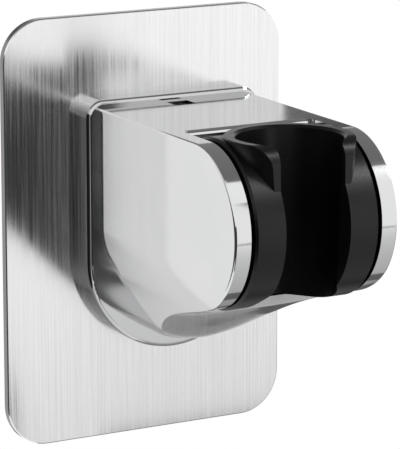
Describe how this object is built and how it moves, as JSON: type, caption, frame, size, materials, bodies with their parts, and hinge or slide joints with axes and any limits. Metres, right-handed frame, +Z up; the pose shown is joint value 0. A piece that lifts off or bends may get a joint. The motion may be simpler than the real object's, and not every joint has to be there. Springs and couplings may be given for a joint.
{
  "type": "hand shower holder",
  "caption": "Wall holder for a hand shower: chrome body on a brushed stick-on plate, with a tilting open conical cup.",
  "frame": {"origin": "on the wall face, at the holder's middle plane and the backing plate's middle height", "axes": "+X to the right seen from the front, +Y into the wall, +Z up; the holder points along -Y"},
  "size_m": [0.0717, 0.0736, 0.1],
  "materials": {
    "pad": "matte foam tape",
    "plate": "brushed upright",
    "screws": "satin",
    "base_chrome": "polished chrome plate",
    "body_chrome": "polished chrome plate",
    "cup": "satin black",
    "rings": "matte"
  },
  "bodies": {
    "holder": {"adhesive_pad": "pad", "backing_plate": "plate", "base_screws": "screws", "wall_base": "base_chrome", "holder_body": "body_chrome"},
    "cup": {"swivel_cup": "cup", "friction_ring_left": "rings", "friction_ring_right": "rings"}
  },
  "joints": [
    {"name": "cup_tilt", "type": "hinge", "parent": "holder", "child": "cup", "pos_m": [0, -0.0547, 0.01115], "axis": [1, 0, 0], "range_deg": [-8, 45]}
  ]
}
